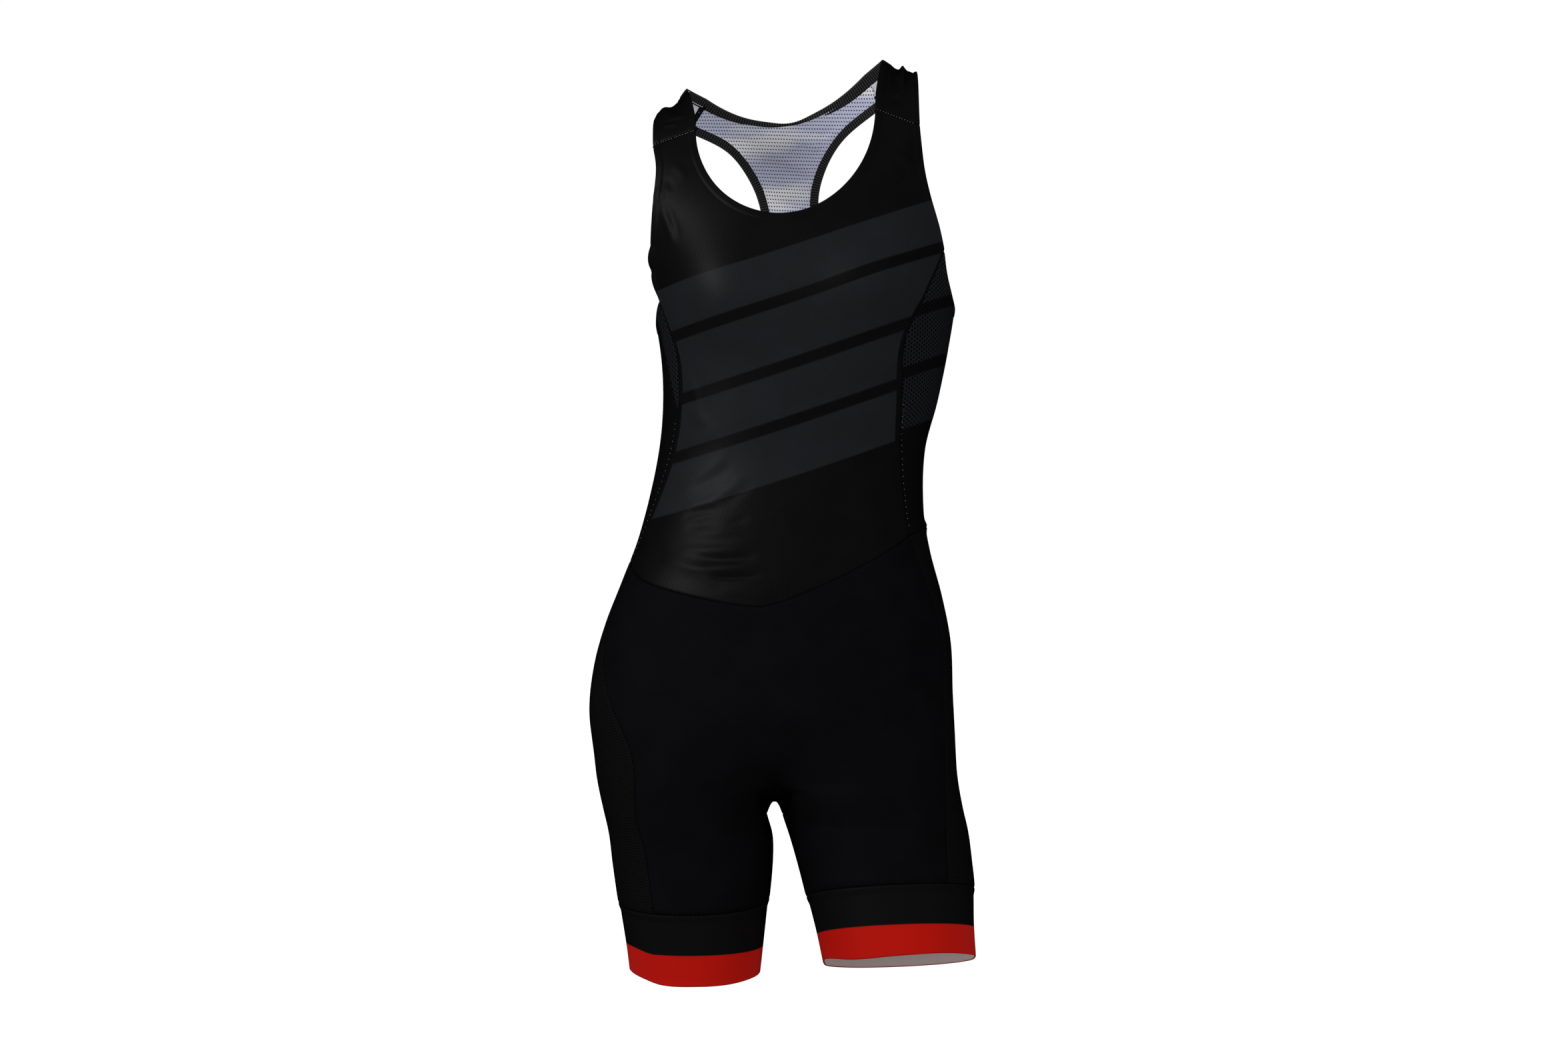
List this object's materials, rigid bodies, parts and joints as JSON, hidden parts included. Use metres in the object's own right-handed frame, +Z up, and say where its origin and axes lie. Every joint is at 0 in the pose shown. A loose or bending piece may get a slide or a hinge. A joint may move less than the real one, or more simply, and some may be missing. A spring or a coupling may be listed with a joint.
{
  "type": "rowing unisuit",
  "caption": "Sleeveless racerback rowing unisuit with scoop neck, mesh side panels, mid-thigh shorts and banded hems, in worn, hollow form.",
  "frame": {"origin": "between the tops of the two shoulder straps, where the wearer's shoulders carry the suit", "axes": "+Z up the body; -Y out of the front; +X to the wearer's left"},
  "size_m": [0.351, 0.2334, 0.8368],
  "materials": {
    "bodice_knit": "smooth printed stretch knit, slight sheen",
    "side_mesh": "stretch mesh with a hexagonal surface",
    "yoke_mesh": "white eyelet mesh inside, black print outside",
    "shorts_knit": "matte stretch knit",
    "elastic": "ribbed folded elastic",
    "hem_knit": "stretch knit band, black above and red below"
  },
  "bodies": {
    "root": {"armhole_binding_left": "elastic", "armhole_binding_right": "elastic", "back_bodice": "yoke_mesh", "back_neck_binding": "elastic", "crotch_gusset": "shorts_knit", "front_bodice": "bodice_knit", "hem_band_left": "hem_knit", "hem_band_right": "hem_knit", "leg_side_panel_left": "side_mesh", "leg_side_panel_right": "side_mesh", "shorts_back": "shorts_knit", "shorts_front": "shorts_knit", "shoulder_strap_left": "bodice_knit", "shoulder_strap_right": "bodice_knit", "side_panel_left": "side_mesh", "side_panel_right": "side_mesh"}
  },
  "joints": []
}
